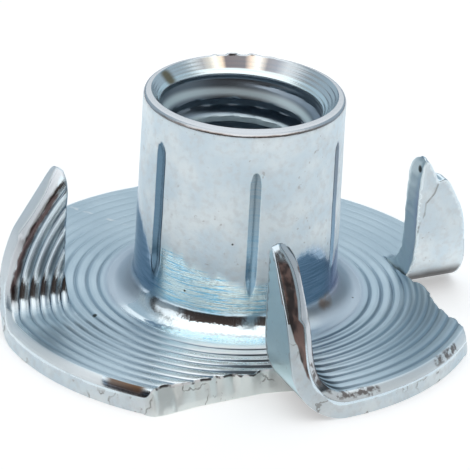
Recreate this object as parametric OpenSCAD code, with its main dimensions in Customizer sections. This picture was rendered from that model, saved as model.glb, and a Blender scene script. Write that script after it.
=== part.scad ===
// Four-prong tee nut, pressed from one round of steel sheet.
// The flange lies on z = 0 with the barrel upwards and its axis on Z.

/* [Flange] */
// Diameter of the round blank
flange_d = 19; // [17:0.1:22]
// Thickness of the sheet
sheet_t = 1; // [0.8:0.05:1.3]
// Radius on the top edge of the blank
edge_round = 0.28; // [0.1:0.01:0.35]
// Distance from one turned ring to the next
ring_pitch = 0.456; // [0.4:0.002:0.6]
// Depth of a turned ring
ring_depth = 0.06; // [0.03:0.005:0.1]
// Width of a turned ring at the face
ring_w = 0.2; // [0.12:0.01:0.26]

/* [Barrel] */
// Overall height, from the underside of the flange to the lip
height = 9.2; // [8:0.1:12]
// Outside diameter of the barrel
barrel_d = 7.75; // [7.4:0.05:8.6]
// Outside diameter of the barrel where its foot starts
foot_d = 7.95; // [7.8:0.05:8.8]
// Height of the foot, where the barrel starts to widen
flare_z = 4.6; // [3.5:0.1:5.5]
// Radius of the cove between the barrel and the flange
cove_r = 0.9; // [0.5:0.05:1.2]
// Radius on the outside of the lip
lip_round = 0.13; // [0.05:0.01:0.18]

/* [Thread] */
// Minor diameter of the M6 thread, the wall of the plain bore
bore_d = 4.92; // [4.8:0.01:5.1]
// Diameter of the countersink at the lip
sink_d = 7.12; // [6.6:0.02:7.3]
// Diameter at which the countersink meets the thread
mouth_d = 6.2; // [6:0.02:6.4]
// Depth of the countersink
sink_depth = 0.6; // [0.3:0.05:1]
// Depth of the lead-in below the countersink
lead_depth = 0.55; // [0.3:0.05:0.8]
// Radius of the rounded mouth in the underside
entry_r = 0.8; // [0.4:0.05:0.9]

/* [Flutes] */
// Number of flutes down the outside of the barrel
flutes = 6; // [3:1:8]
// Direction of the first flute
flute_turn = -81; // [-90:1:-60]
// Radius of the tool that pressed a flute
flute_r = 0.34; // [0.25:0.01:0.45]
// Depth of a flute at its lower end
flute_depth = 0.17; // [0.08:0.01:0.25]
// Height at which a flute starts
flute_low = 3.3; // [3:0.1:4]
// Height at which a flute runs out
flute_high = 8.4; // [7.5:0.1:8.8]

/* [Prongs] */
// Direction in which the first prong stands from the axis
prong_turn = -63.4; // [-90:0.1:-45]
// Distance of the straight shear cut from the axis
cut_r = 6.7; // [6:0.05:7.5]
// Offset of a prong's grooved face from its radius
prong_y = -0.9; // [-1.5:0.05:-0.5]
// Inside radius of the bend
bend_r = 1.2; // [0.8:0.05:1.4]
// How far the rim draws in as it is bent
draw_in = 0.05; // [0.04:0.01:0.1]
// Height of the prong tips above the underside
prong_h = 6.35; // [5:0.05:6.5]
// Radius of a prong tip
tip_r = 0.24; // [0.1:0.01:0.3]
// Slope of the trimmed edge below a tip, from upright
trim_a = 35; // [25:1:45]

/* [Torn prong] */
// Slope of the torn edge, from upright
torn_a = 27; // [20:1:35]
// Height of the shoulder that the tear left
shoulder_h = 5.25; // [4.6:0.05:5.6]
// Radius of the shoulder
shoulder_r = 0.35; // [0.15:0.05:0.5]
// Radius of the nick at the foot of the tear
nick_r = 0.13; // [0.08:0.01:0.2]

/* [Hidden] */
$fn = 96;

PRONGS = 4;
TORN = 1;              // number of the torn prong, counted from the first
NEUTRAL = 0.45;        // depth of the sheet's neutral layer at a bend, from its inside
BEND_STEPS = 4;        // arcs that carry the rings round a bend
REACH = 2;             // how far a cutting block runs past the blank

blank_r = flange_d / 2;
bore_r = bore_d / 2;
foot_r = foot_d / 2;

// Rings start outside the cove and end before the rounded edge
first_ring = foot_r + cove_r + ring_w / 2;
last_ring = blank_r - edge_round - ring_w / 2;
ring_count = floor((last_ring - first_ring) / ring_pitch) + 1;

// A prong in the sheet: the bend starts at bend_s and ends at blade_s
bend_s = prong_y + bend_r;
bend_len = (bend_r + NEUTRAL * sheet_t) * PI / 2;
blade_s = bend_s - bend_len;
bend_z = sheet_t + bend_r;
prong_back = prong_y - sheet_t;

// Half of the blank's section, from its inner radius to its edge
module sheet_section(inner) {
    difference() {
        translate([inner, 0]) square([blank_r - inner, sheet_t]);
        for (i = [0:ring_count - 1])
            translate([first_ring + i * ring_pitch, sheet_t])
                polygon([[-ring_w / 2, 0], [0, -ring_depth], [ring_w / 2, 0]]);
        translate([blank_r - edge_round, sheet_t - edge_round])
            difference() {
                square(2 * edge_round);
                circle(edge_round);
            }
    }
}

// Section of the barrel with its cove, countersink and rounded mouth
module barrel_section() {
    difference() {
        union() {
            polygon([
                [bore_r, 0], [foot_r, 0], [foot_r, sheet_t + cove_r],
                [barrel_d / 2, flare_z], [barrel_d / 2, height], [bore_r, height]
            ]);
            difference() {
                translate([bore_r, 0]) square([foot_r + cove_r - bore_r, sheet_t + cove_r]);
                translate([foot_r + cove_r, sheet_t + cove_r]) circle(cove_r);
            }
        }
        polygon([
            [bore_r, height - sink_depth - lead_depth], [mouth_d / 2, height - sink_depth],
            [sink_d / 2, height], [sink_d / 2, height + REACH], [bore_r - REACH, height + REACH],
            [bore_r - REACH, height - sink_depth - lead_depth]
        ]);
        difference() {
            translate([bore_r, 0]) square(entry_r);
            translate([bore_r + entry_r, entry_r]) circle(entry_r);
        }
        translate([barrel_d / 2 - lip_round, height - lip_round])
            difference() {
                square(2 * lip_round);
                circle(lip_round);
            }
    }
}

// One flute: a slanting rod that leaves the barrel at its upper end
module flute() {
    lean = atan(flute_depth / (flute_high - flute_low));
    translate([barrel_d / 2 + flute_r - flute_depth, 0, flute_low])
        rotate([0, lean, 0]) {
            cylinder(r = flute_r, h = flute_high - flute_low + REACH / 4);
            sphere(flute_r);
        }
}

// Outline of a blade in its own plane, x from the axis and y upwards
module trimmed_outline(slope) {
    tip = [cut_r + tip_r, prong_h - tip_r];
    // where the trimmed edge leaves the round tip, and where it ends
    leave = tip + tip_r * [cos(slope), sin(slope)];
    drop = leave[1] - bend_z;
    polygon([
        [cut_r, 0], [cut_r, tip[1]], tip, leave,
        [leave[0] + drop * tan(slope), bend_z], [leave[0] + drop * tan(slope), 0]
    ]);
    translate(tip) circle(tip_r);
}

module torn_outline() {
    shoulder_x = sqrt(blank_r ^ 2 - (shoulder_h - bend_z - blade_s) ^ 2);
    root_x = cut_r + tip_r + (prong_h - shoulder_h) * tan(torn_a) + nick_r;
    difference() {
        union() {
            trimmed_outline(torn_a);
            translate([cut_r, 0])
                square([blank_r - cut_r, shoulder_h - shoulder_r]);
            translate([cut_r, 0])
                square([shoulder_x - cut_r - shoulder_r / 2, shoulder_h]);
            translate([shoulder_x - shoulder_r / 2, shoulder_h - shoulder_r])
                circle(shoulder_r);
        }
        translate([root_x, shoulder_h]) circle(nick_r);
    }
}

// A prong, standing at distance cut_r along X and offset along Y
module prong(torn) {
    // the bend, in short arcs, each with the rings where they run in the sheet
    translate([0, bend_s, bend_z]) rotate([0, 90, 0])
        for (i = [0:BEND_STEPS - 1]) {
            s = bend_s - bend_len * (i + 0.5) / BEND_STEPS;
            drift = draw_in + blank_r - sqrt(blank_r ^ 2 - s ^ 2);
            rotate_extrude(angle = 90 / BEND_STEPS, start = -(i + 1) * 90 / BEND_STEPS)
                intersection() {
                    translate([bend_r + sheet_t, -drift]) rotate(90) sheet_section(cut_r - REACH);
                    translate([0, cut_r]) square([bend_r + sheet_t, blank_r]);
                }
        }
    // the blade: the blank's own rim, turned upright
    intersection() {
        translate([0, prong_back, bend_z + blade_s]) rotate([-90, 0, 0])
            rotate_extrude() sheet_section(cut_r - REACH);
        translate([0, prong_y + REACH, 0]) rotate([90, 0, 0])
            linear_extrude(sheet_t + 2 * REACH)
                if (torn) torn_outline(); else trimmed_outline(trim_a);
        translate([0, prong_back - REACH, bend_z])
            cube([blank_r + REACH, sheet_t + 2 * REACH, blank_r]);
    }
}

module tee_nut() {
    color([0.72, 0.77, 0.80]) {
        difference() {
            rotate_extrude() {
                barrel_section();
                sheet_section(foot_r + cove_r / 2);
            }
            for (i = [0:flutes - 1])
                rotate(flute_turn + i * 360 / flutes) flute();
            for (i = [0:PRONGS - 1])
                rotate(prong_turn + i * 360 / PRONGS)
                    translate([cut_r, bend_s - 2 * blank_r, -REACH])
                        cube([blank_r, 2 * blank_r, sheet_t + 2 * REACH]);
        }
        for (i = [0:PRONGS - 1])
            rotate(prong_turn + i * 360 / PRONGS) prong(i == TORN);
    }
}

tee_nut();
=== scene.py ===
"""A four-prong tee nut of bright zinc-plated steel, standing on its flange."""

import math

import bpy
import numpy as np
from mathutils import Matrix, Vector
from mathutils.geometry import delaunay_2d_cdt


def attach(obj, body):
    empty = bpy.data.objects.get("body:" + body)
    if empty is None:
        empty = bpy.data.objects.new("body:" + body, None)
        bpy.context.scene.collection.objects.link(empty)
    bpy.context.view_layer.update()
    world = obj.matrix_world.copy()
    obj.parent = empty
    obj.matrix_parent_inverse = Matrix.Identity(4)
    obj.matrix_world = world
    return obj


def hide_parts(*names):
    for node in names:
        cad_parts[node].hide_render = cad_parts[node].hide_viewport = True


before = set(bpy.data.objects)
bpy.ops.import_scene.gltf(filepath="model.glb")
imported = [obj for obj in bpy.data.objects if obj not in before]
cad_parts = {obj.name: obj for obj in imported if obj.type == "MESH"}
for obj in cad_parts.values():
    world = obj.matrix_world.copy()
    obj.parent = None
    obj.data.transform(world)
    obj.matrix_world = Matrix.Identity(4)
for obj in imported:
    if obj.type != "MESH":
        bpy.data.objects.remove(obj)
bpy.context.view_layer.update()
scene = bpy.context.scene

# ---------------------------------------------------------------- faced blank
# The nut starts as a round of 1 mm steel sheet. One side is faced on a lathe, whose tool leaves
# rings, and the rim rolls over a little on that side. Sizes are in millimetres.
MM = 0.001
FAR = 9.0  # any distance that counts as nowhere near
sheet_t = 1.0
blank_r = 9.5
rim_bevel = 0.19
rim_slope = 1.6
bevel_r = 9.2
hub_r = 4.875
ring_first = 4.86
ring_pitch = 0.456
ring_depth = 0.045
ring_sigma = 0.052
fine_at, fine_depth, fine_sigma = 0.15, 0.009, 0.026
crown_depth = 0.009


def rolled(depth, away):
    """How far a rolled edge has dropped, away from where its sheet would end."""
    inside = np.clip(depth - away, 0, depth)
    return depth - np.sqrt(np.maximum(depth**2 - inside**2, 0))


def bevelled(away):
    """How far the bevel on the blank's rim has dropped, away from the rim."""
    inside = rim_bevel - away
    return 0.5 * rim_slope * (inside + np.sqrt(inside**2 + 0.0009))


def faced_height(xy, relief=1.0):
    """Height of the faced side over the back of the sheet, in the flat. The blank sat a little
    askew in the lathe, so the rings run shallower towards its back."""
    r = np.hypot(*xy.T)
    shallow = 0.75 * np.clip((xy[:, 1] - 0.5) / 4.0, 0, 1)
    turn = (r - ring_first) / ring_pitch
    off = (turn - np.round(turn)) * ring_pitch
    groove = ring_depth * np.exp(-((off / ring_sigma) ** 2))
    second = fine_depth * np.exp(-(((off - fine_at) / fine_sigma) ** 2))
    crown = crown_depth * (1 - np.cos(math.tau * (turn - 0.5)))
    room = np.clip((r - hub_r) / 0.08, 0, 1) * np.clip((bevel_r - r) / 0.1, 0, 1)
    cut = room * relief * (1 - shallow) * (groove + second + crown)
    return sheet_t - cut - bevelled(blank_r - r)


# rows of points: close over each ring, and over the bevel on the rim
ring_rows = [
    ring_first + ring_pitch * k + off
    for k in range(10)
    for off in (-0.1, -0.066, -0.034, 0.0, 0.034, 0.066, 0.1, fine_at, 0.19, 0.27)
]
ring_rows = [r for r in ring_rows if hub_r + 0.04 < r < bevel_r - 0.04]
ring_rows += [bevel_r, 9.26, 9.29, 9.315, 9.34, 9.39, 9.45]

# ---------------------------------------------------------------- shear cuts and prong outlines
# Four straight shear cuts run in from the rim, and each frees one prong. Three prongs are
# trimmed to a point. The second tore instead and kept a shoulder beside its tip.
PRONGS = 4
TORN = 1
prong_turns = [math.radians(-63.4 + 90 * k) for k in range(PRONGS)]
cut_t = 6.72
cut_length = 6.9
bend_s = 0.3
corner_r = 0.2
step = 0.075
laid_out = 0.09  # how much longer a prong is in the flat than its height once bent
# how far a sheared edge and the blank's rim are rounded inwards, and how far they drop
edge_round, edge_drop = 0.04, 0.05
rim_round, rim_drop = 0.012, 0.084

# a prong's outline as (distance from the axis, height once bent), from its root to the rim
trimmed = [(6.7, -0.36), (6.76, -0.1), (6.76, 2.0), (6.77, 3.5), (6.76, 5.0), (6.73, 5.9),
           (6.74, 6.3), (6.93, 6.42), (7.12, 6.25), (7.6, 5.5), (8.1, 4.72), (8.565, 4.0)]
torn = [(6.7, -0.36), (6.76, -0.1), (6.8, 2.2), (6.78, 3.6), (6.78, 4.4), (6.79, 5.1),
        (6.86, 5.65), (6.91, 6.02), (6.97, 6.28), (7.14, 6.2), (7.34, 5.83), (7.54, 5.46),
        (7.64, 5.17), (7.76, 5.21), (7.88, 5.26), (8.02, 5.22), (8.16, 5.1), (8.32, 4.81),
        (8.58, 4.29), (8.76, 3.98), (8.92, 3.58), (9.05, 3.03), (9.126, 2.55)]
outlines = [trimmed, torn, trimmed, trimmed]
tips = [6, 8, 6, 6]

# upper and lower edges of each cut on the flange, as (along the cut, outwards from cut_t)
root = [(-1.0, -0.06), (0.3, -0.03)]
lower_root = [(-1.2, 0.16), (-0.5, 0.34), (0.05, 0.4), (0.3, -0.03)]
upper_edges = [
    [(-6.75, 0.02), (-6.43, -0.07), (-6.28, -0.2), (-6.04, -0.29), (-5.75, -0.31),
     (-5.5, -0.26), (-5.2, -0.12), (-4.6, -0.21), (-4.05, -0.2),
     (-3.8, -0.3), (-3.6, -0.13), (-3.1, -0.28), (-2.9, 0.0), (-2.5, 0.05), (-2.0, -0.1)],
    [(-6.6, 0.06), (-6.0, 0.12), (-5.5, 0.13), (-5.2, 0.02), (-4.5, 0.0), (-3.9, 0.02),
     (-3.4, 0.14), (-3.0, 0.27), (-2.4, 0.25), (-2.1, 0.1)],
    [(-6.6, -0.05), (-5.4, -0.12), (-4.6, -0.04), (-3.4, -0.1), (-2.4, -0.04)],
    [(-6.6, -0.02), (-5.6, -0.1), (-4.3, -0.03), (-3.2, -0.12), (-2.2, -0.04)],
]
lower_edges = [
    [(-6.7, 0.28), (-6.2, 0.3), (-5.76, 0.26), (-5.25, 0.19), (-4.7, 0.11), (-3.7, 0.08),
     (-2.7, 0.05), (-1.9, 0.04)],
    [(-6.6, 0.24), (-4.0, 0.2), (-2.6, 0.28), (-1.9, 0.1)],
    *[[(-6.6, 0.2), (-3.0, 0.15), (-1.9, 0.1)]] * 2,
]
noise = np.random.default_rng(7)


def spread(points, gap):
    """Points about one gap apart along a line through the given ones."""
    p = np.array(points, float)
    far = np.concatenate([[0], np.cumsum(np.hypot(*np.diff(p, axis=0).T))])
    at = np.linspace(0, far[-1], max(2, int(round(far[-1] / gap)) + 1))
    return np.c_[np.interp(at, far, p[:, 0]), np.interp(at, far, p[:, 1])]


def worn(points, times):
    """The same open line with its corners worn round."""
    p = np.array(points, float)
    for _ in range(times):
        near, far = p[:-1] * 0.75 + p[1:] * 0.25, p[:-1] * 0.25 + p[1:] * 0.75
        p = np.concatenate([p[:1], np.stack([near, far], 1).reshape(-1, 2), p[-1:]])
    return p


def ragged(count, size):
    """Random steps along an edge, each blended with its neighbours."""
    raw = noise.normal(0, size, count + 4)
    return raw[:-4] * 0.2 + raw[1:-3] * 0.5 + raw[2:-2] * 0.7 + raw[3:-1] * 0.5 + raw[4:] * 0.2


def turned(points, angle):
    """Points given as (outwards, across) of a prong, as x and y."""
    c, s = math.cos(angle), math.sin(angle)
    p = np.asarray(points, float)
    return np.c_[p[:, 0] * c - p[:, 1] * s, p[:, 0] * s + p[:, 1] * c]


def laid_flat(line):
    """A bent prong's outline, laid out flat as (outwards, across)."""
    return np.c_[line[:, 0], -(line[:, 1] + laid_out)]


# the whole edge of the blank as one closed line, anticlockwise: the place of each point, the
# prong it belongs to, the rounding of its upper edge, its drop, its slant and its tear, and how
# much of its wall is bright
edge_rows, cut_start, root_at, rim_at = [], [], [], []


def add_edge(points, *values):
    """Adds points to the edge, with what else it keeps of each."""
    edge_rows.extend(np.c_[(points, *(np.broadcast_to(v, len(points)) for v in values))])


for k, turn in enumerate(prong_turns):
    # the flange's side of the cut, from the rim to the root
    upper, lower = np.array(upper_edges[k] + root), np.array(lower_edges[k] + lower_root)
    mouth_t = cut_t + upper[0, 1] + edge_round
    corner = np.array([mouth_t, -math.sqrt(blank_r**2 - mouth_t**2)])
    along = np.linspace(corner[1] + corner_r, bend_s, int(cut_length / step))
    near_root = np.clip((bend_s - along) / 0.5, 0, 1)
    top = np.interp(along, upper[:, 0], upper[:, 1]) + ragged(len(along), 0.016) * near_root
    low = np.interp(along, lower[:, 0], lower[:, 1])
    line = np.c_[cut_t + top + edge_round * near_root, along][:-1]
    # the corner between rim and cut, rounded by wear
    cut_start.append(len(edge_rows))
    part = np.linspace(0, 1, 7)[:-1]
    rim_angle = math.atan2(corner[1], corner[0]) - corner_r / blank_r
    rim_end = blank_r * np.array([math.cos(rim_angle), math.sin(rim_angle)])
    u = part[:, None]
    bend = rim_end * (1 - u) ** 2 + corner * 2 * u * (1 - u) + line[0] * u**2
    add_edge(turned(bend, turn), -1, rim_round + (edge_round - rim_round) * part,
             rim_drop + (edge_drop - rim_drop) * part, part * (low - top - edge_round)[0],
             part, -0.3 * part)
    near_root = near_root[:-1]
    add_edge(turned(line, turn), -1, edge_round * near_root, edge_drop * near_root,
             (low - top)[:-1] - edge_round * near_root, near_root, -0.3)
    # the prong's side, round its tip and back to the rim
    root_at.append(len(edge_rows))
    shape = outlines[k]
    inner = spread(worn(shape[: tips[k] + 1], 2), step)
    outer = worn(shape[tips[k]:], 3)
    line = laid_flat(np.concatenate([inner[:-1], spread(outer, step * 0.7)]))
    line[0] = cut_t - 0.03, bend_s
    n = len(line)
    part = np.clip((np.arange(n) - len(inner) + 3) / 6.0, 0, 1)
    ease = np.clip((bend_s - line[:, 1]) / 0.6, 0, 1)
    line[1:-1, 0] += ragged(n - 2, 0.007) * (ease * (1 - part * (0.4 if k == TORN else 1)))[1:-1]
    falls = 0.04 * (1 - part) + (0.07 if k == TORN else 0.133) * part
    tip_off = np.hypot(*(line - laid_flat(np.array([shape[tips[k]]]))).T)
    worn_back = -0.16 * np.clip(1 - tip_off / 0.4, 0, 1) ** 1.5
    add_edge(turned(line, turn), k, edge_round * ease, falls * ease, worn_back,
             ease * (1 - part * 0.6), 2.0)
    # the blank's own rim, up to the next cut
    start = math.atan2(line[-1, 1], line[-1, 0])
    fold = math.atan2(bend_s, math.sqrt(blank_r**2 - bend_s**2))
    next_t = cut_t + upper_edges[(k + 1) % PRONGS][0][1] + edge_round
    stop = math.pi / 2 - math.acos(next_t / blank_r) - corner_r / blank_r
    for a, b, body, gap in ((start, fold, k, 0.11), (fold, stop, -1, 0.16)):
        angles = np.linspace(a, b, int(blank_r * (b - a) / gap) + 1)
        angles = angles[1:-1] if body == k else angles[:-1]
        if body == -1:
            rim_at.append(len(edge_rows))
        rim = np.c_[np.cos(angles), np.sin(angles)] * blank_r
        bright = np.interp(-rim[:, 1], [1.3, 2.2, 2.8, 3.4, 4.4, 4.6],
                           [0, 0.12, 0.36, 0.62, 0.95, 2]) if body == k else 0.0
        add_edge(turned(rim, turn), body, rim_round, rim_drop, 0.0, 0.0, bright)


def aimed(arrows):
    """The same arrows, all of length 1."""
    return arrows / np.maximum(np.linalg.norm(arrows, axis=1), 1e-6)[:, None]


edge = np.array(edge_rows)[:, :2]
owner, inset, drop, slant, tear, shine = np.array(edge_rows)[:, 2:].T
run = aimed(aimed(edge - np.roll(edge, 1, 0)) + aimed(np.roll(edge, -1, 0) - edge))
outward = np.c_[run[:, 1], -run[:, 0]]
for k, turn in enumerate(prong_turns):
    # a cut's wall leans straight across the cut, however ragged its upper edge is
    mine = slice(cut_start[k], root_at[k])
    across = turned([(1, 0)], turn)
    outward[mine] += (across - outward[mine]) * tear[mine, None]

# ---------------------------------------------------------------- pressed sheet
# The press folds the four prongs up against the faced side, round a punch edge. The sheet is
# meshed flat, face by face between its edges, and each prong is then carried round its bend.
bend_r = 1.2
neutral = 0.45
bend_len = (bend_r + neutral * sheet_t) * math.pi / 2
spring = 0.14

# the middle layer of the sheet round a bend, which straightens out slowly: its turn at each
# length along it, how far across it has run and how high it has climbed
bend_d = np.linspace(0, 9, 451)
bend_turn = math.pi / 2 * (1 - spring * np.log1p(np.exp((1 - bend_d / bend_len) / spring)))
mid_turn = (bend_turn[1:] + bend_turn[:-1]) / 2
bend_run, bend_rise = (np.append(0, np.cumsum(part(mid_turn))) * (bend_d[1] - bend_d[0])
                       for part in (np.cos, np.sin))
layer = (1 - neutral) * sheet_t

flutes = 6
flute_turn = math.radians(-81)
columns = 264
crowding = 0.6
around = np.arange(columns) * math.tau / columns
around = around - crowding / flutes * np.sin(flutes * (around - flute_turn))
clearance = 0.034  # no free point stands nearer than this to an edge

points, flat_rs, rim_away, faces = [], [], [], []


def local(xy, k):
    """x and y as (outwards, across) of prong k."""
    return turned(xy, -prong_turns[k])


def line_distance(p, line):
    """Distance of each point to a line of short stretches."""
    best = np.full(len(p), FAR)
    for a, b in zip(line[:-1], line[1:]):
        ab = b - a
        u = np.clip(((p - a) @ ab) / max(ab @ ab, 1e-12), 0, 1)
        best = np.minimum(best, np.hypot(*(p - a - u[:, None] * ab).T))
    return best


trim_lines, outer_lines = [], []
for shape, tip in zip(outlines, tips):
    trim_lines.append(laid_flat(worn(shape[tip:], 3)))
    rim_s = np.linspace(trim_lines[-1][-1, 1], 0.6, 12)[1:]
    rim = np.c_[np.sqrt(blank_r**2 - rim_s**2), rim_s]
    outer_lines.append(np.vstack([trim_lines[-1], rim]))


def top_height(xy, k):
    """Height of the faced side at flat points of prong k, or of the flange where k is -1."""
    h = faced_height(xy)
    if k >= 0:
        p = local(xy, k)
        smooth = np.clip((line_distance(p, outer_lines[k]) - 0.25) / 0.3, 0, 1)
        past = np.clip((bend_s - p[:, 1]) / 0.8, 0, 1)
        h = faced_height(xy, 1 - past * (1 - 0.75 * smooth))
        away = line_distance(p, trim_lines[k])
        high = -p[:, 1] - laid_out
        if k == TORN:
            h -= rolled(0.1, away) + 0.45 * np.clip((high - 5.62) / 0.55, 0, 1) ** 1.4
        else:
            h = (h - rolled(0.34, away)) * (1 - 0.42 * np.clip((high - 5.45) / 0.95, 0, 1) ** 2)
    return h


def carried(xy, h, k):
    """Flat points at height h, with those of prong k carried round the bend."""
    if k < 0:
        return np.c_[xy, h]
    p = local(xy, k)
    d = np.maximum(bend_s - p[:, 1], 0)
    drawn_in = np.clip(d / 1.2, 0, 1) ** 2 * np.clip((4.6 - d) / 2.0, 0, 1)
    p[:, 0] -= 0.14 * drawn_in * np.clip((p[:, 0] - 7.2) / 2.2, 0, 1)
    turn = np.interp(d, bend_d, bend_turn)
    s = bend_s - np.interp(d, bend_d, bend_run) + (h - layer) * np.sin(turn)
    z = layer + np.interp(d, bend_d, bend_rise) + (h - layer) * np.cos(turn)
    s, z = np.where(d > 0, s, p[:, 1]), np.where(d > 0, z, h)
    return np.column_stack([turned(np.c_[p[:, 0], s], prong_turns[k]), z])


def add_points(xyz, flat, away=FAR):
    """New points of the sheet, with their distance in the flat from the axis and the rim."""
    first = len(points)
    points.extend(xyz)
    flat_rs.extend(flat)
    rim_away.extend(np.broadcast_to(away, len(xyz)))
    return np.arange(first, first + len(xyz))


def inside(p, ring):
    """Which points lie inside a closed line."""
    hit = np.zeros(len(p), bool)
    for a, b in zip(ring, np.roll(ring, -1, 0)):
        if a[1] != b[1]:
            span = (a[1] > p[:, 1]) != (b[1] > p[:, 1])
            hit ^= span & (p[:, 0] < (b[0] - a[0]) * (p[:, 1] - a[1]) / (b[1] - a[1]) + a[0])
    return hit


def set_in_space(xy, k, is_top):
    """Where flat points of the faced side, or of the back, end up."""
    return carried(xy, top_height(xy, k) if is_top else np.zeros(len(xy)), k)


def cover(ring_ids, ring_xy, free_xy, k, is_top, hole_ids=(), hole_xy=()):
    """Fills a closed line of prong k, or of the flange round its hole, with triangles."""
    hole_xy = np.reshape(hole_xy, (-1, 2))
    free_xy = free_xy[inside(free_xy, ring_xy)]
    free_xy = free_xy[line_distance(free_xy, np.vstack([ring_xy, ring_xy[:1]])) > clearance]
    away = FAR if k < 0 else line_distance(local(free_xy, k), outer_lines[k])
    ids = add_points(set_in_space(free_xy, k, is_top), np.hypot(*free_xy.T), away)
    n, m, base = len(ring_ids), len(hole_ids), len(ring_ids) + len(ids)
    lines = [(i, (i + 1) % n) for i in range(n)]
    lines += [(base + i, base + (i + 1) % m) for i in range(m)]
    flat = [Vector(p) for p in np.vstack([ring_xy, free_xy, hole_xy])]
    out = delaunay_2d_cdt(flat, lines, [], 0, 1e-7, True)
    back = np.concatenate([ring_ids, ids, hole_ids]).astype(int)[[o[0] for o in out[3]]]
    tri = np.array(out[2])
    mid = np.array([tuple(v) for v in out[0]])[tri].mean(1)
    tri = tri[inside(mid, ring_xy) & ~inside(mid, hole_xy)]
    faces.extend(back[tri][:, :: 1 if is_top else -1])


def aside_of(p, q, r):
    """How far, and to which side, points r lie off the lines from p to q."""
    return (q[:, 0] - p[:, 0]) * (r[:, 1] - p[:, 1]) - (q[:, 1] - p[:, 1]) * (r[:, 0] - p[:, 0])


def uncrossed(line):
    """The same closed line, drawn tight where it makes a small loop at the tip of a prong."""
    line = line.copy()
    for span in range(8, 1, -1):
        a, b, c, d = (np.roll(line, -shift, 0) for shift in (0, 1, span, span + 1))
        from_a, from_b = aside_of(c, d, a), aside_of(c, d, b)
        crossed = (aside_of(a, b, c) * aside_of(a, b, d) < 0) & (from_a * from_b < 0)
        for i in np.flatnonzero(crossed):
            meet = a[i] + (b[i] - a[i]) * from_a[i] / (from_a[i] - from_b[i])
            bent = zip(a[i], meet * 0.7 + (a[i] + d[i]) * 0.15, d[i])
            inner = np.arange(1, span + 1)
            new = [np.interp(inner / (span + 1) * 2, [0, 1, 2], axis) for axis in bent]
            line[(i + inner) % len(line)] = np.transpose(new)
    return line


# the wall of the edge: how far each of its rows stands in, has dropped, and lies down the wall,
# and below them the rows that round its foot
wall_rows = [(1.0, 0.0, 0.0), (0.3, 0.4, 0.0), (0.0, 1.0, 0.0), (0.0, 1.0, 0.2), (0.0, 1.0, 0.45),
             (0.0, 1.0, 0.7), (0.0, 1.0, 1.0)]
wall_foot = 0.045
foot_rows = [(rim_round, 0.012), (wall_foot, 0.0)]
walls = []
upper_xy = edge - outward * inset[:, None]
upper_h = np.zeros(len(edge))
for k in range(-1, PRONGS):
    mine = owner == k
    upper_h[mine] = top_height(upper_xy[mine], k)
for stand, fallen, down in wall_rows:
    out = slant * min(1, down * 1.15) - inset * stand
    if 0 < down < 1:
        out = out + tear * ragged(len(edge), 0.014)
    xy = uncrossed(edge + outward * out[:, None])
    walls.append((xy, (upper_h - drop * fallen) * (1 - down) + wall_foot * down))
for out, h in foot_rows:
    off = slant - out * np.minimum(1, inset / rim_round)
    walls.append((uncrossed(edge + outward * off[:, None]), np.full(len(edge), h)))
wall_ids = []
for xy, h in walls:
    xyz = np.zeros((len(edge), 3))
    for k in range(-1, PRONGS):
        mine = owner == k
        xyz[mine] = carried(xy[mine], h[mine], k)
    wall_ids.append(add_points(xyz, np.hypot(*xy.T)))
ahead = np.roll(np.arange(len(edge)), -1)
for up, low in zip(wall_ids[:-1], wall_ids[1:]):
    faces += list(zip(low, low[ahead], up[ahead], up))

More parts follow.
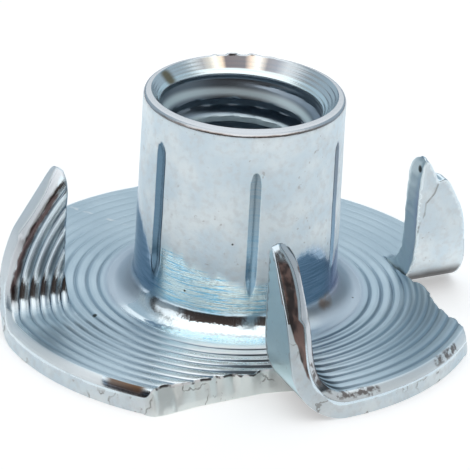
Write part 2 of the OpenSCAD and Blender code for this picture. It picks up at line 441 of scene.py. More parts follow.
# the two sides, flange and prongs, which share the points on each bend line
ring_columns = 300
turns = np.arange(ring_columns) * math.tau / ring_columns
faced_grid = np.vstack([np.c_[r * np.cos(turns), r * np.sin(turns)] for r in ring_rows])
gap = 0.17
cell = np.arange(-blank_r, blank_r, gap)
back_grid = np.array([(x + (j % 2) * gap / 2, y) for j, y in enumerate(cell) for x in cell])
mouth_r = 3.26
hole_rings, faced_ids = {}, list(wall_ids[0])
for side in ("faced", "back"):
    before_side = len(points)
    is_top = side == "faced"
    row = wall_ids[0 if is_top else -1]
    row_xy = walls[0 if is_top else -1][0]
    grid = faced_grid if is_top else back_grid
    hole_r = hub_r if is_top else mouth_r
    hole_xy = np.c_[hole_r * np.cos(around), hole_r * np.sin(around)]
    hole_ids = add_points(np.c_[hole_xy, np.full(columns, sheet_t if is_top else 0.0)],
                          np.full(columns, hole_r))
    hole_rings[side] = hole_ids
    folds = []
    for k in range(PRONGS):
        t0 = local(row_xy[root_at[k]][None], k)[0, 0]
        t1 = local(row_xy[rim_at[k]][None], k)[0, 0]
        ts = np.array([math.sqrt(r * r - bend_s**2) for r in ring_rows])
        if not is_top:
            ts = np.arange(t0 + gap, t1 - gap / 2, gap)
        ts = ts[(ts > t0 + 0.05) & (ts < t1 - 0.012)]
        bow = 0.12 * (ts - t0) * (t1 - ts) / (t1 - t0) ** 2
        xy = turned(np.c_[ts, bend_s + bow], prong_turns[k])
        away = line_distance(local(xy, k), outer_lines[k])
        folds.append((add_points(set_in_space(xy, -1, is_top), np.hypot(*xy.T), away), xy))
    # the flange, with its four straight cuts
    parts, spots = [], []
    for k in range(PRONGS):
        first = rim_at[k - 1] if k else rim_at[-1] - len(edge)
        stretch = np.arange(first, root_at[k] + 1)
        parts += [row[stretch], folds[k][0]]
        spots += [row_xy[stretch], folds[k][1]]
    free = grid[np.hypot(*grid.T) > hole_r + 0.05]
    if not is_top:
        free = free[(np.hypot(*free.T) > 6.4) | (np.arange(len(free)) % 7 == 0)]
    free = free[line_distance(free, hole_xy) > 0.04]
    cover(np.concatenate(parts), np.vstack(spots), free, -1, is_top, hole_ids, hole_xy)
    # the prongs
    for k in range(PRONGS):
        stretch = np.arange(root_at[k], rim_at[k] + 1)
        ids = np.concatenate([row[stretch], folds[k][0][::-1]])
        xy = np.vstack([row_xy[stretch], folds[k][1][::-1]])
        p = local(grid, k)
        free = grid[(p[:, 0] > 6.6) & (p[:, 1] < bend_s - 0.02)]
        if is_top:
            line = spread(trim_lines[k], 0.08)
            aim = aimed(np.gradient(line, axis=0))
            aside = np.c_[-aim[:, 1], aim[:, 0]]
            free = free[line_distance(local(free, k), line) > 0.27]
            rows = [turned(line + aside * d, prong_turns[k]) for d in (0.08, 0.13, 0.19, 0.25)]
            free = np.vstack([free] + rows)
        cover(ids, xy, free, k, is_top)
    if is_top:
        faced_ids += range(before_side, len(points))

# ---------------------------------------------------------------- drawn barrel
# The press draws the middle of the blank up into a barrel and pinches flutes into it. Its lip
# and countersink are turned, and a tap cuts the M6 thread.
barrel_sizes = {
    "Cove radius": 0.9,
    "Height": 9.2,
    "Lip round": 0.15,
    "Lip inner radius": 3.58,
    "Lip off centre": 0.25,
    "Countersink depth": 0.45,
    "Countersink radius": 3.12,
    "Flute radius": 0.34,
    "Flute depth": 0.085,
    "Thread pitch": 1.0,
    "Minor radius": 2.46,
    "Major radius": 3.0,
    "Mouth radius": 0.8,
    "Rim slant": 0.02,
}
barrel_rows = {"cove": 10, "foot": 5, "flute foot": 8, "wall": 14, "top": 6, "lip round": 5,
               "lip": 4, "countersink": 24, "upper turns": 48, "lower turns": 42, "mouth": 9}


class Socket:
    """A socket of a node tree. Sums and products on it add Math nodes."""

    def __init__(self, tree, socket=None):
        self.tree, self.socket = tree, socket

    def node(self, kind, settings=None, sockets=None, out=0):
        """Any other node: its settings first, then the values or links of its sockets."""
        made = self.tree.nodes.new(kind)
        for name, value in (settings or {}).items():
            if name == "stops":
                ramp = made.color_ramp
                while len(ramp.elements) < len(value):
                    ramp.elements.new(0.5)
                for element, (place, colour) in zip(ramp.elements, value):
                    element.position = place
                    element.color = (*np.broadcast_to(colour, 3), 1.0)
            else:
                setattr(made, name, value)
        for key, value in (sockets or {}).items():
            slot = made.inputs[key]
            if isinstance(value, Socket):
                self.tree.links.new(value.socket, slot)
            else:
                slot.default_value = (*value, 1.0) if slot.type == "RGBA" else value
        return Socket(self.tree, made.outputs[out] if made.outputs else None)

    def also(self, name):
        """Another output of the same node."""
        return Socket(self.tree, self.socket.node.outputs[name])

    def math(self, operation, *others):
        return self.node("ShaderNodeMath", {"operation": operation},
                         dict(enumerate((self, *others))))

    def larger(self, other):
        return self.math("MAXIMUM", other)

    def smaller(self, other):
        return self.math("MINIMUM", other)

    def step(self, low, high):
        """Rises smoothly from 0 at low to 1 at high."""
        return self.node("ShaderNodeMapRange", {"interpolation_type": "SMOOTHSTEP"},
                         {0: self, 1: low, 2: high})

    def band(self, low, full, last, end):
        """Rises from 0 at low to 1 at full, and falls again from last to end."""
        return self.step(low, full) * self.step(end, last)

    def mix(self, other, factor):
        """This value where factor is 0, and the other where it is 1."""
        return self.node("ShaderNodeMix", {"data_type": "FLOAT"}, {0: factor, 2: self, 3: other})

    def __add__(self, other):
        return self.math("ADD", other)

    __radd__ = __add__

    def __sub__(self, other):
        return self.math("SUBTRACT", other)

    def __rsub__(self, other):
        return (self * -1) + other

    def __mul__(self, other):
        return self.math("MULTIPLY", other)

    __rmul__ = __mul__

    def __truediv__(self, other):
        return self.math("DIVIDE", other)

    def __abs__(self):
        return self.math("ABSOLUTE")


tree = bpy.data.node_groups.new("drawn barrel", "GeometryNodeTree")
tree.interface.new_socket("Geometry", in_out="OUTPUT", socket_type="NodeSocketGeometry")
barrel_inputs = {}
for name, value in barrel_sizes.items():
    made = tree.interface.new_socket(name, in_out="INPUT", socket_type="NodeSocketFloat")
    barrel_inputs[made.identifier] = value
entry = tree.nodes.new("NodeGroupInput")
given = {name: Socket(tree, entry.outputs[name]) for name in barrel_sizes}
base = Socket(tree)


def noise_on(place, scale, detail=2.0, kind="3D", rough=0.5):
    return base.node("ShaderNodeTexNoise", {"noise_dimensions": kind},
                     {("W" if kind == "1D" else "Vector"): place, "Scale": scale,
                      "Detail": detail, "Roughness": rough})


row_count = sum(barrel_rows.values())
tube = base.node("GeometryNodeMeshCylinder", {"fill_type": "NONE"},
                 {"Vertices": columns, "Side Segments": row_count, "Radius": 1.0, "Depth": 1.0})
here = base.node("ShaderNodeSeparateXYZ", {}, {0: base.node("GeometryNodeInputPosition")})
row = (here.also("Z") + 0.5) * row_count
around_it = here.also("Y").math("ARCTAN2", here)
from_flute = (around_it - flute_turn) * flutes
around_it = around_it - from_flute.math("SINE") * (crowding / flutes)

# how far along each stretch of the section a row is, from 0 to 1
along, first_row = {}, 0
for name, count in barrel_rows.items():
    along[name] = ((row - first_row) / count).smaller(1.0).larger(0.0)
    first_row += count
quarter = math.pi / 2
cove, lip, mouth = (along[n] * quarter for n in ("cove", "lip round", "mouth"))

# height of each row: up the outside, over the lip and down the bore
rise = given["Height"] - given["Lip round"] - (sheet_t + given["Cove radius"])
height = sheet_t + given["Cove radius"] * (1 - cove.math("COSINE"))
for name, share in (("foot", 0.17), ("flute foot", 0.11), ("wall", 0.57), ("top", 0.15)):
    height = height + along[name] * (rise * share)
bore_top = given["Height"] - given["Countersink depth"]
turns_high = bore_top - given["Mouth radius"]
height = (height + given["Lip round"] * lip.math("SINE")
          - given["Countersink depth"] * along["countersink"]
          - turns_high * 0.34 * along["upper turns"] - turns_high * 0.66 * along["lower turns"]
          - given["Mouth radius"] * mouth.math("SINE"))

# radius on the outside: the cove, a wall that narrows upwards, the lip and the countersink,
# which was turned a little off centre and so leaves the lip wider on one side
off_centre = given["Lip off centre"] * around_it.math("SINE")
lip_r = given["Lip inner radius"] + off_centre
outside = (hub_r - given["Cove radius"] * cove.math("SINE") - 0.035 * along["foot"]
           - height.step(4.0, 5.4) * 0.03 - height.step(5.4, 8.5) * 0.03
           - (given["Lip round"] * 0.8 - off_centre * 0.48) * (1 - lip.math("COSINE")))
outside = outside.mix(lip_r, along["lip"])
countersink_r = given["Countersink radius"] - 0.1 * around_it.math("COSINE")
outside = outside.mix(countersink_r, along["countersink"])
ripple = (along["countersink"] * (math.tau * 4.5)).math("SINE")
to_right = around_it.math("COSINE") * 0.006 + 0.01
outside = outside + ripple * to_right * along["countersink"].step(0.0, 0.1)

# flutes: grooves of a round tool that run out upwards
runs_out = 8.0 - (around_it * 3).math("SINE") * 0.22
left_one = abs(around_it + 2.46).step(0.45, 0.3)
deep = (given["Flute depth"] + left_one * 0.05) * (
    height.step(2.3, 3.4) - (height - runs_out).step(-0.7, 0.2) * 1.5)
deep = deep.larger(-0.04)
aside = from_flute + ((from_flute / math.tau).math("ROUND") * (-math.tau))
aside = (aside / flutes) - from_flute.math("SINE") * (crowding / flutes)
aside = aside * outside
tool = given["Flute radius"]
bite = (tool * tool - aside * aside).larger(0.0).math("SQRT") - tool + deep
bite = bite.math("SMOOTH_MAX", 0.0, 0.05)
on_wall = along["cove"].math("GREATER_THAN", 0.999) * (1 - along["lip round"])
outside = outside - bite * on_wall

# the bore: a right-hand thread, opened by the lead-in above and the rounded mouth below
turn_on = height / given["Thread pitch"] - around_it / math.tau + 0.23
crest = abs(turn_on.math("FRACT") * 2 - 1)
tooth = crest.step(0.82, 0.2)
thread = given["Minor radius"] + (given["Major radius"] - given["Minor radius"]) * tooth
lead_in = countersink_r - 0.02 - (bore_top - 0.2 - height).larger(0.0) * 0.53
mouth_wall = given["Minor radius"] + given["Mouth radius"] * (1 - mouth.math("COSINE"))
bore = thread.math("SMOOTH_MAX", lead_in, 0.05).larger(mouth_wall)
bore_rows = sum(barrel_rows[n] for n in ("upper turns", "lower turns", "mouth"))
in_bore = row.math("GREATER_THAN", row_count - bore_rows + 0.5)
radius = outside.mix(bore, in_bore)

# the place of each point, with the slant of the rim
x, y = radius * around_it.math("COSINE"), radius * around_it.math("SINE")
high = height.step(3.0, 9.2)
bottom = along["countersink"] * (1 - in_bore.step(0.0, 1.0) * height.step(8.6, 8.0))
turning_burr = noise_on(around_it * 9.0, 1.0, 1.0, "1D").step(0.4, 0.62)
at_back = abs(around_it - 1.62).step(0.42, 0.22)
on_lip = along["lip round"].step(0.3, 1.0) * along["countersink"].step(0.14, 0.0)
slanted = (height - high * (given["Rim slant"] * y + 0.03)
           - bottom * (0.031 * x + 0.02 * y) + turning_burr * at_back * on_lip * 0.07)
place = base.node("ShaderNodeCombineXYZ", {}, {0: x, 1: y, 2: slanted})
place = base.node("ShaderNodeVectorMath", {"operation": "SCALE"}, {0: place, "Scale": MM})
made = tube
for name, value in (("bite", bite * on_wall), ("bore", in_bore),
                    ("sink", along["countersink"] * (1 - in_bore)), ("lip", along["lip round"]),
                    ("crest", crest * in_bore)):
    made = base.node("GeometryNodeStoreNamedAttribute", {},
                     {"Geometry": made, "Name": name, "Value": value})
made = base.node("GeometryNodeSetPosition", {}, {"Geometry": made, "Position": place})
base.node("NodeGroupOutput", {}, {0: made})


def placed(name, data):
    """A new object in the scene."""
    made = bpy.data.objects.new(name, data)
    scene.collection.objects.link(made)
    return made


barrel = placed("drawn barrel", bpy.data.meshes.new("drawn barrel"))
draw = barrel.modifiers.new("draw", "NODES")
draw.node_group = tree
for key, value in barrel_inputs.items():
    draw[key] = value
bpy.context.view_layer.update()
drawn = bpy.data.meshes.new_from_object(
    barrel.evaluated_get(bpy.context.evaluated_depsgraph_get()))
bpy.data.objects.remove(barrel)

# ---------------------------------------------------------------- one piece
# Sheet and barrel are one piece of steel, so they share the points where they meet. The nut is
# plated with zinc in a barrel and dipped in a blue passivate after it is shaped.
count = columns * (row_count + 1)
tube_xyz = np.zeros(count * 3)
drawn.vertices.foreach_get("co", tube_xyz)
tube_xyz = tube_xyz.reshape(-1, 3) / MM
weld = np.arange(count) - columns + len(points)
weld[:columns], weld[-columns:] = hole_rings["back"], hole_rings["faced"]
quads = np.zeros(len(drawn.polygons) * 4, int)
drawn.polygons.foreach_get("vertices", quads)
faces += list(weld[quads].reshape(-1, 4))
free = slice(columns, count - columns)
sheet_count = len(points)
xyz = np.vstack([points, tube_xyz[free]])

mesh = bpy.data.meshes.new("tee nut")
mesh.from_pydata(xyz * MM, [], [[int(i) for i in f] for f in faces])
mesh.validate()
turned_r = np.append(flat_rs, hub_r + sheet_t - tube_xyz[free, 2])
sheared, wall_down, wall_shine, on_edge, is_faced = np.zeros((5, len(xyz)))
for j, ids in enumerate(wall_ids):
    on_edge[ids] = 1.0 if j > 0 else 0.0
    sheared[ids] = tear if j > 0 else 0.0
    wall_down[ids] = wall_rows[j][2] if j < len(wall_rows) else 1.0
    wall_shine[ids] = shine
is_faced[faced_ids] = 1.0
from_rim = np.append(rim_away, np.full(len(xyz) - sheet_count, FAR))
for k in range(PRONGS):
    mine = owner == k
    from_rim[wall_ids[0][mine]] = line_distance(local(edge[mine], k), outer_lines[k])
marks = {"turned_r": turned_r, "sheared": sheared, "down": wall_down,
         "shine": wall_shine, "on_edge": on_edge, "faced": is_faced, "from_rim": from_rim}
for name in ("bite", "bore", "sink", "lip", "crest"):
    value = np.zeros(count)
    drawn.attributes[name].data.foreach_get("value", value)
    marks[name] = np.append(np.zeros(sheet_count), value[free])
for name, value in marks.items():
    mesh.attributes.new(name, "FLOAT", "POINT").data.foreach_set("value", value)
mesh.polygons.foreach_set("use_smooth", np.ones(len(mesh.polygons), bool))
mesh.set_sharp_from_angle(angle=math.radians(38))
nut = placed("tee_nut_dressed", mesh)


def emptied(owner):
    """The start of a new node tree for a material or the world."""
    owner.use_nodes = True
    owner.node_tree.nodes.clear()
    return Socket(owner.node_tree)


zinc = bpy.data.materials.new("bright zinc")
base = emptied(zinc)


def mark(name):
    """A value that the mesh keeps at its points."""
    return base.node("ShaderNodeAttribute", {"attribute_name": name}, out="Fac")


def tinted(colour, other, factor):
    """One colour passing into another."""
    return base.node("ShaderNodeMix", {"data_type": "RGBA"},
                     {0: factor, 6: colour, 7: other}, out=2)


def coated(where, tint, rough):
    """The metal's colour and roughness, passing into others where a mask is 1."""
    return tinted(colour, tint, where), roughness.mix(rough, where)


def noise_at(scale, detail=2.0, stretch=(1, 1, 1)):
    """Noise in the metal, from 0 to 1, drawn out along an axis where stretch is below 1."""
    at = base.node("ShaderNodeVectorMath", {"operation": "MULTIPLY"}, {0: spot, 1: stretch})
    return noise_on(at, scale, detail)


def near(start, end, soft, wide):
    """1 within soft millimetres of a short line in the metal, and 0 beyond wide."""
    along_it = Vector(end) - Vector(start)
    length = max(along_it.length, 1e-6)
    off = [axis - at for axis, at in zip((spot_x, spot_y, spot_z), start)]
    done = sum((o * float(a) for o, a in zip(off, along_it)), 0) / length**2
    done = done.larger(0.0).smaller(1.0)
    off = [o - done * float(a) for o, a in zip(off, along_it)]
    return sum((o * o for o in off), 0).math("SQRT").step(wide, soft)


# where a point is: from the axis, up, round from the front, in millimetres and degrees
spot = base.node("ShaderNodeTexCoord", out="Object")
spot_x, spot_y, spot_z = (base.node("ShaderNodeSeparateXYZ", {}, {0: spot}, out=i) * 1000
                          for i in range(3))
spot_r = (spot_x * spot_x + spot_y * spot_y).math("SQRT")
from_front = spot_x.math("ARCTAN2", spot_y * -1) * (180 / math.pi)
from_back = spot_x.math("ARCTAN2", spot_y) * (180 / math.pi)
faced, in_bore, in_sink, wall = mark("faced"), mark("bore"), mark("sink"), mark("on_edge")
turned_mark, lip_mark = mark("turned_r"), mark("lip")
on_barrel = spot_r.step(4.98, 4.86) * spot_z.step(0.6, 1.02) * lip_mark.step(0.7, 0.2)
# fine noise that frays the borders of masks, and the angle from the front, frayed
fray = noise_at(900.0, 3.0) - 0.5
frayed, astray = from_front + fray * 14, from_front + fray * 20

# bright zinc in a cloud of tones; painted shade darkens the turned grooves, to nearly black in the
# front fan, and the prongs' cut sides are tinted blue-grey
cloud = noise_at(330.0, 3.0).step(0.3, 0.75)
colour = tinted((0.72, 0.8, 0.84), (0.6, 0.71, 0.78), cloud)
off = (turned_mark - ring_first) / ring_pitch
off = abs(off - off.math("ROUND")) * ring_pitch
fan = frayed.band(-12, 8, 24, 36)
right = from_front.band(28, 38, 100, 118)
groove = (off - fan * turned_mark.step(4.6, 7.4) * 0.085 - right * 0.02).step(0.085, 0.02)
groove = groove * (1 - from_front.step(-50, -75) * 0.4)
# at the right and at the front left a fine line lies half-way between the rings
halved = turned_mark.step(6.5, 6.9).larger(from_front.step(70, 55) * turned_mark.step(5.2, 5.5))
left = from_front.band(-80, -64, -34, -22) * turned_mark.step(6.3, 6.7)
between = off.step(0.14, 0.19) * turned_mark.step(8.35, 8.1) * (halved * right + left)
groove = groove.larger(between * 0.75) * spot_r.step(4.9, 5.0) * faced * spot_y.step(4.5, 0.5)
# painted shade: the grooves, and the fine lines between some rings, are painted dark
colour = tinted(colour, tinted((0.12, 0.18, 0.25), (0.02, 0.025, 0.03), fan), groove * 0.95)
cut_side = wall * mark("sheared").step(0.6, 0.9) * mark("shine").step(1.0, 1.5)
colour = tinted(colour, (0.68, 0.78, 0.81), cut_side)
turned_face = faced * spot_z.step(1.35, 1.1) * spot_r.step(4.9, 5.05) * spot_r.step(9.35, 9.15)
roughness = 0.11 + 0.05 * cloud + 0.2 * cut_side + (0.17 + 0.05 * cloud) * turned_face

# painted highlight: the rings' lands are painted near white in a fan at the front, with their own
# roughness there, and painted shade makes them darker and bluer over the back and the sides
fan_highlight = (from_front + fray * 10).band(-24, -8, 12, 30) * turned_face
colour = tinted(colour, (0.98, 1.0, 1.0), fan_highlight * (1 - groove))
roughness = roughness.mix(0.13, fan_highlight)
roughness = roughness.mix(0.42, fan_highlight * turned_mark.step(6.4, 5.6))
# painted shade: darker, bluer lands at the back, the right and the left
back_and_side_shade = (spot_y.step(-3.0, 2.5) * 0.8).larger(
    spot_x.step(3.0, 6.0) * 0.7).larger(astray.step(-14, -30) * 0.7)
colour = tinted(colour, (0.42, 0.53, 0.6), turned_face * back_and_side_shade)

# painted highlight: the cove is painted near white at its front; elsewhere it is rougher and
# painted darker, as painted shade
cove_highlight = (spot_r.step(5.15, 4.95) * spot_z.step(1.8, 1.4) * from_front.step(-50, -30)
             * spot_z.step(0.7, 0.9))
colour = tinted(colour, (0.88, 0.96, 0.98), cove_highlight)
# painted shade on the cove's sides, which are also rougher
dull_shaded_cove = (spot_r.step(5.25, 5.0) * spot_z.step(2.0, 1.5) * spot_z.step(0.7, 0.9)
             * astray.step(30, 50).larger(astray.step(-54, -70)))
colour, roughness = coated(dull_shaded_cove, (0.54, 0.63, 0.71), 0.48)

# each prong has a smooth grey border along its trimmed edge, and beside it a brown line of painted
# reflection, where the rolled edge mirrors the tent's dark front
from_rim = mark("from_rim") + fray * 0.1
on_prong = faced * spot_z.step(1.15, 1.9)
border = from_rim.step(0.2, 0.14) * on_prong
colour, roughness = coated(border, (0.74, 0.77, 0.8), 0.34)
spatter = noise_at(2400.0, 3.0)
# painted reflection: the dark brown line beside the border
dark_reflection_line = ((from_rim + spatter * 0.2).step(0.24, 0.3) * (from_rim + spatter * 0.3).step(0.62, 0.46)
           * on_prong * spot_z.step(5.75, 5.5))
colour, roughness = coated(dark_reflection_line, (0.15, 0.11, 0.11), 0.25)

# the bevel on the flange's rim is rubbed pale, but for a bright stretch; its brown stretches, also
# up into a prong's bend, and a dark brown patch at its front left are painted reflection of the
# tent's dark front
# painted reflection: brown stretches on the bevel and along a prong's bend
rim_dark_reflection = near((4.1, -8.35, 0.95), (5.5, -7.65, 0.85), 0.1, 0.26)
bend_line = [(2.98, -8.6, 2.3), (3.15, -8.62, 1.75), (3.45, -8.54, 1.35), (4.1, -8.35, 0.95)]
for start, end in zip(bend_line, bend_line[1:]):
    rim_dark_reflection = rim_dark_reflection.larger(near(start, end, 0.05, 0.15))
rim_dark_reflection = rim_dark_reflection.larger(near((7.84, -5.2, 0.9), (8.55, -3.95, 0.85), 0.1, 0.26))
rim_dark_reflection = rim_dark_reflection * faced * noise_at(3600.0, 5.0).step(0.42, 0.56)
on_bevel = turned_mark.step(bevel_r, 9.27)
bevel = on_bevel * faced * spot_z.step(1.25, 1.1)
bevel = bevel * (1 - near((-4.3, -8.1, 0.9), (-2.9, -8.8, 0.9), 0.3, 0.5))
colour, roughness = coated(bevel, (0.9, 0.95, 0.97), 0.42)
colour = tinted(colour, (0.16, 0.13, 0.12), rim_dark_reflection * 0.85)
# painted reflection: a dark brown patch on the bevel at the front left
corner_dark_reflection = near((-4.2, -8.15, 0.9), (-3.3, -8.62, 0.9), 0.1, 0.45) * on_bevel
colour, roughness = coated(corner_dark_reflection, (0.17, 0.1, 0.06), 0.36)

# the barrel's foot is streaked by the drawing die; painted reflection makes it dark blue at the
# sides, a painted highlight makes it bright cyan to white at the front, and its flutes are painted
# dark as painted shade
streak = base.node("ShaderNodeCombineXYZ", {}, {0: from_front * 0.045, 1: spot_z * 15.0})
streak = noise_on(streak, 1.0, 5.0, "2D", 0.7)
foot_reflection_colour = tinted((0.18, 0.29, 0.4), (0.3, 0.42, 0.56), streak.step(0.3, 0.7))
foot_reflection_colour = tinted(foot_reflection_colour, (0.34, 0.34, 0.52), from_front.step(58, 78))
# painted highlight: the bright streaks across the front of the foot
foot_highlight = frayed.band(-54, -40, 10, 30)
streak_highlight = tinted((0.28, 0.74, 1.0), (0.86, 1.0, 1.0), (streak + fray * 0.15).step(0.34, 0.54))
foot_reflection_colour = tinted(foot_reflection_colour, streak_highlight, foot_highlight * spot_z.step(1.5, 1.9))
colour = tinted(colour, foot_reflection_colour, on_barrel * spot_z.step(1.3, 1.9))
brushed = on_barrel * foot_highlight * spot_z.step(1.6, 2.1)
roughness = roughness.mix(0.14, brushed)
in_flute = mark("bite").step(0.004, 0.022) * on_barrel
# painted shade: the flutes are painted dark blue, darker on the left
flute_shade = tinted((0.2, 0.33, 0.44), (0.19, 0.24, 0.28), spot_z.step(3.5, 7.0))
flute_shade = tinted(flute_shade, (0.11, 0.19, 0.26), from_front.step(-20, -45))
colour = tinted(colour, flute_shade, in_flute * 0.9)
roughness = roughness.mix(0.22, in_flute)

# above its foot the barrel is rubbed dull between the flutes
dull_from = base.node("ShaderNodeValToRGB", {"stops": [
    (0.0, 0.36), (0.25, 0.56), (0.344, 0.34), (0.38, 0.385), (0.478, 0.31), (0.533, 0.29),
    (0.611, 0.405), (0.645, 0.39), (0.694, 0.29), (0.78, 0.38), (1.0, 0.36)]},
    {0: from_front / 360 + 0.5}) * 10
upright = noise_at(2600.0, 3.0, (1, 1, 0.1)) - 0.5
rubbed = (spot_z - dull_from + upright * 0.9 + fray * 0.5).step(-0.28, 0.3)
rubbed = rubbed * on_barrel * (1 - in_flute)

# so are the sheared sides, most of the rim and the back of the sheet
sheet_back = (1 - faced) * spot_r.step(4.9, 5.0) * (1 - wall)
dull_wall = wall * (mark("down") - mark("shine") + fray * 0.5).step(0.0, 0.1)
dull = rubbed.larger(dull_wall.larger(sheet_back))
patch = noise_at(700.0, 5.0).step(0.35, 0.7)
dulled = tinted((0.67, 0.77, 0.83), (0.8, 0.86, 0.88), patch)
mottle = noise_at(3600.0, 5.0).step(0.44, 0.7)
dulled = tinted(dulled, (0.62, 0.64, 0.65), mottle * 0.4)
dulled = tinted(dulled, (0.95, 1.0, 0.98), wall * mark("sheared") * 0.95)
front_back = sheet_back * spot_y.step(-5.5, -6.5) * spot_z.step(0.1, 0.5)
dulled = tinted(dulled, (0.6, 0.8, 0.86), front_back * 0.8)
speck = noise_at(5200.0, 2.0).step(0.66, 0.74) * noise_at(900.0, 1.0).step(0.42, 0.6)
dulled = tinted(dulled, (0.36, 0.34, 0.33), speck * 0.5)
crack = abs(noise_at(900.0, 4.0) - 0.5).step(0.022, 0.006) * wall
crack = crack * noise_at(700.0, 1.0).step(0.5, 0.6)
torn_line = [(7.74, 1.6, 5.12), (7.6, 1.54, 4.68), (7.3, 1.38, 4.3), (7.26, 1.38, 3.8),
             (7.08, 1.28, 3.4), (7.02, 1.26, 2.9)]
for start, end in zip(torn_line, torn_line[1:]):
    crack = crack.larger(near(start, end, 0.0, 0.07) * fray.step(-0.12, 0.04))
dulled = tinted(dulled, (0.3, 0.29, 0.28), crack * 0.7)
burr = wall * mark("sheared").step(0.5, 0.9) * mark("down").step(0.09, 0.02) * dull
# painted glints: white flecks on the dark burr along the top of the sheared walls
burr_glints = tinted((0.1, 0.09, 0.09), (1.0, 1.0, 1.0), spatter.step(0.44, 0.54))
dulled = tinted(dulled, burr_glints, burr)
# painted shade: near black under the prongs' bends and in the crease at the right prong's root
shade_under_bend = sheet_back * (spot_z + fray * 0.4).step(1.3, 0.7) * spot_z.step(0.02, 0.15)
crevice_shade = near((6.85, 1.55, 1.7), (6.95, 2.25, 0.9), 0.05, 0.22)
dulled = tinted(dulled, (0.08, 0.08, 0.08), shade_under_bend.larger(crevice_shade))
colour = tinted(colour, dulled, dull)
roughness = roughness.mix(0.5, dull * (1 - sheet_back * 0.3)) - 0.04 * dull_wall

# painted reflection: the front prong's trimmed edge is painted brown where it mirrors the tent's
# dark front, and painted light makes the walls on the left pale
wall_dark_reflection = (wall * (1 - dull_wall) * (1 - cut_side) * mark("shine").step(0.02, 0.1)
              * mark("down").step(0.0, 0.05) * mark("down").step(0.97, 0.88)
              * (spot_z + fray * 0.8).step(5.95, 5.7)
              * from_front.step(-60, -40) * from_front.step(60, 40))
wall_reflection_tone = tinted((0.3, 0.21, 0.19), (0.09, 0.08, 0.08), (upright + 0.5).step(0.4, 0.58))
colour, roughness = coated(wall_dark_reflection, wall_reflection_tone, 0.3)
# painted light: the walls on the left are painted pale
left_walls_painted_pale = wall * from_front.step(-40, -52) * spot_z.step(1.6, 2.4)
colour, roughness = coated(left_walls_painted_pale, (0.84, 0.88, 0.9), 0.5)

# the countersink is freshly turned: streaks of straw and brown tint at its back, between
# near-white and dark bands of painted reflection, a painted highlight round its foot and a stain
# on its left
sink_tint_and_reflection = base.node("ShaderNodeValToRGB", {"stops": [
    (0.0, (0.66, 0.7, 0.72)), (0.2, (0.72, 0.78, 0.8)), (0.26, (0.42, 0.43, 0.44)),
    (0.3, (0.6, 0.58, 0.53)), (0.335, (1.0, 0.96, 0.86)), (0.37, (0.85, 0.7, 0.55)),
    (0.39, (0.2, 0.18, 0.19)), (0.49, (0.22, 0.21, 0.22)), (0.52, (0.8, 0.66, 0.55)),
    (0.56, (1.0, 0.99, 0.94)), (0.59, (0.62, 0.58, 0.54)), (0.61, (0.3, 0.3, 0.32)),
    (0.66, (0.34, 0.36, 0.4)), (0.72, (0.58, 0.62, 0.65)), (1.0, (0.66, 0.71, 0.73))]},
    {0: from_back / 120 + 0.5})
# painted highlight: a pale ring round the foot of the countersink
sink_tint_and_reflection = tinted(sink_tint_and_reflection, (0.8, 0.9, 0.92), in_sink.step(0.66, 0.76))
stain = near((-3.05, 1.72, 8.98), (-2.92, 1.62, 8.86), 0.1, 0.46)
sink_tint_and_reflection = tinted(sink_tint_and_reflection, (0.24, 0.2, 0.13), stain)
colour = tinted(colour, sink_tint_and_reflection, in_sink.step(0.01, 0.08) * (1 - in_bore))
on_lip = lip_mark.step(0.02, 0.3) * in_sink.step(0.03, 0.0) * (1 - in_bore)
# painted reflection: a dark line low on the lip, only at its front
lip_dark_reflection = (lip_mark + fray * 0.8).step(0.52, 0.32) * abs(from_front).step(62, 44)
lip_colour = tinted((0.6, 0.61, 0.63), (0.28, 0.24, 0.22), lip_dark_reflection)
colour, roughness = coated(on_lip, lip_colour, 0.16)

# painted highlight on the thread's crests, which are also less metallic, and painted shade over
# the rest of the bore
crest_highlight = mark("crest").step(0.52, 0.94)
thread_highlight_and_shade = tinted((0.28, 0.34, 0.4), (0.8, 0.95, 1.0), crest_highlight)
colour, roughness = coated(in_bore, thread_highlight_and_shade, 0.34)
metallic = 1 - in_bore * crest_highlight * 0.6

# specks of dirt, a rust spot on the cove and a row of dots scratched across the back
for place, size in (((-5.27, -3.22, 0.97), 0.13), ((4.63, -0.61, 1.0), 0.06),
                    ((-1.87, -3.49, 2.4), 0.06), ((-0.15, -3.92, 4.69), 0.05),
                    ((6.98, 1.46, 5.74), 0.19)):
    colour = tinted(colour, (0.05, 0.06, 0.06), near(place, place, size * 0.5, size))
rust = near((3.62, -1.85, 1.55), (3.45, -2.15, 1.5), 0.12, 0.42) * fray.step(-0.2, 0.0)
colour = tinted(colour, (0.3, 0.22, 0.17), rust * 0.8)
dots = near((-6.9, 6.05, 1.0), (-3.6, 4.17, 1.0), 0.03, 0.12) * faced
dots = dots * noise_at(2200.0, 1.0).step(0.45, 0.6)
colour = tinted(colour, (1.0, 1.0, 1.0), dots * 0.6)
roughness = roughness.mix(0.5, dots)

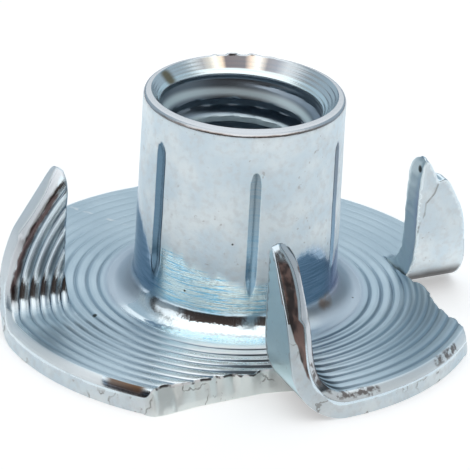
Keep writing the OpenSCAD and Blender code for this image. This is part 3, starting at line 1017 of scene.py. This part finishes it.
# marks too fine for the mesh: the tool's, the die's, the plating's grain and the cracks
fine = noise_on(turned_mark, 26.0, 2.0, "1D")
grain = noise_on(spot, 9000.0, 2.0)
height = (fine - 0.5) * 0.008 * faced + (spatter - 0.5) * 0.035 * cove_highlight * (1 - dull_shaded_cove)
height = height + (streak - 0.5) * 0.016 * brushed * (1 - in_flute) * (1 - rubbed)
height = height + (grain - 0.5) * (0.002 + 0.008 * dull) - crack * 0.02 * dull
relief = base.node("ShaderNodeBump", {}, {"Strength": 1.0, "Distance": MM, "Height": height})
sheet_shine, barrel_shine = (base.node("ShaderNodeBsdfPrincipled", {}, {
    "Base Color": colour, "Metallic": metallic, "Roughness": roughness, "Anisotropic": 0.85,
    "Anisotropic Rotation": rotation, "Normal": relief}) for rotation in (0.25, 0.0))
shader = base.node("ShaderNodeMixShader", {}, {0: spot_r.step(5.02, 4.94) * (1 - sheet_back),
                                               1: sheet_shine, 2: barrel_shine})
base.node("ShaderNodeOutputMaterial", {}, {"Surface": shader})
mesh.materials.append(zinc)
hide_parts("tee_nut")
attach(nut, "root")

# ---------------------------------------------------------------- studio
# A white table under a light tent. The tent's front is dark, where the camera looks in.
view = bpy.data.cameras.new("camera")
camera = placed("camera", view)
scene.camera = camera
view.sensor_width = 36.0
view.lens = 276.7
view.clip_start, view.clip_end = 0.01, 10.0
distance, down, tilt = 0.140209, 0.4621, 0.0568
aim = Vector((-0.0769, 0.0, 3.1439)) * MM
sight = Vector((0, math.cos(down), -math.sin(down)))
camera.location = aim - sight * distance
camera.rotation_euler = (sight.to_track_quat("-Z", "Y").to_matrix()
                         @ Matrix.Rotation(tilt, 3, "Z")).to_euler()

world = bpy.data.worlds.new("white room")
scene.world = world
base = emptied(world)
seen = base.node("ShaderNodeLightPath", out="Is Camera Ray")
seen = seen.larger(seen.also("Is Glossy Ray")).larger(seen.also("Is Transmission Ray"))
white = base.node("ShaderNodeBackground", {}, {"Color": (1, 1, 1), "Strength": seen * 0.5 + 0.5})
base.node("ShaderNodeOutputWorld", {}, {"Surface": white})


def stage_piece(name, verts, quads, material, shader):
    """A piece of the studio, which is no part of the nut."""
    base.node("ShaderNodeOutputMaterial", {}, {"Surface": shader})
    mesh = bpy.data.meshes.new(name)
    mesh.from_pydata(verts, [], quads)
    mesh.materials.append(material)
    piece = placed(name, mesh)
    return piece


table_top = bpy.data.materials.new("white table")
base = emptied(table_top)
seen = base.node("ShaderNodeLightPath", out="Is Camera Ray")
seen = seen.larger(seen.also("Is Glossy Ray"))
shader = base.node("ShaderNodeAddShader", {}, {
    0: base.node("ShaderNodeBsdfDiffuse", {}, {"Color": (0.8, 0.8, 0.8)}),
    1: base.node("ShaderNodeEmission", {}, {"Color": (1, 1, 1), "Strength": seen * 0.45})})
wide = 3.0
corners = [(-wide, -wide, 0), (wide, -wide, 0), (wide, wide, 0), (-wide, wide, 0)]
stage_piece("table", corners, [(0, 1, 2, 3)], table_top, shader)

tent_cloth = bpy.data.materials.new("tent cloth")
base = emptied(tent_cloth)
where = base.node("ShaderNodeVectorMath", {"operation": "NORMALIZE"},
                  {0: base.node("ShaderNodeTexCoord", out="Object")})
where = base.node("ShaderNodeSeparateXYZ", {}, {0: where})
# how far up the tent, and how far round it from the side the camera is on, in degrees
level = where.also("Z").math("ARCSINE") * (180 / math.pi)
aside = abs(where.math("ARCTAN2", where.also("Y") * -1)) * (180 / math.pi)
side = tinted((0.34, 0.37, 0.39), (0.38, 0.48, 0.56), aside.step(95, 140))
side = tinted(side, (0.16, 0.21, 0.26), aside.step(80, 110) * level.step(14, 2))
side = tinted(side, (0.055, 0.04, 0.035), aside.step(66, 52) * level.step(-1, 3))
to_left = where.math("LESS_THAN", 0.0) * aside.step(52, 60) * aside.step(96, 84)
side = tinted(side, (0.95, 0.97, 1.0), to_left * level.step(20, 26) * level.step(56, 50))
roof = tinted((1.15, 1.15, 1.15), (1.0, 1.06, 1.1), aside.step(90, 150))
high_up = level.step(43, 47) * aside.step(100, 60) + level.step(48, 62) * aside.step(60, 100)
high_up = high_up.larger(level.step(17, 23) * aside.step(160, 168))
colour = tinted(side, roof, high_up)
shader = base.node("ShaderNodeEmission", {}, {"Color": colour, "Strength": 1.1})
tent_r, tent_rows, tent_columns, sunk = 0.6, 24, 64, 0.001
up, way = np.divmod(np.arange((tent_rows + 1) * tent_columns), tent_columns)
up, way = up * quarter / tent_rows, way * math.tau / tent_columns
verts = np.c_[tent_r * np.cos(up) * np.cos(way), tent_r * np.cos(up) * np.sin(way),
              tent_r * np.sin(up) - sunk]
low = np.arange(tent_rows * tent_columns)
after = low // tent_columns * tent_columns + (low + 1) % tent_columns
quads = np.c_[low, after, after + tent_columns, low + tent_columns].tolist()
tent = stage_piece("light_tent", verts, quads, tent_cloth, shader)
tent.visible_camera = False
tent.visible_shadow = False

scene.view_settings.view_transform = "Standard"
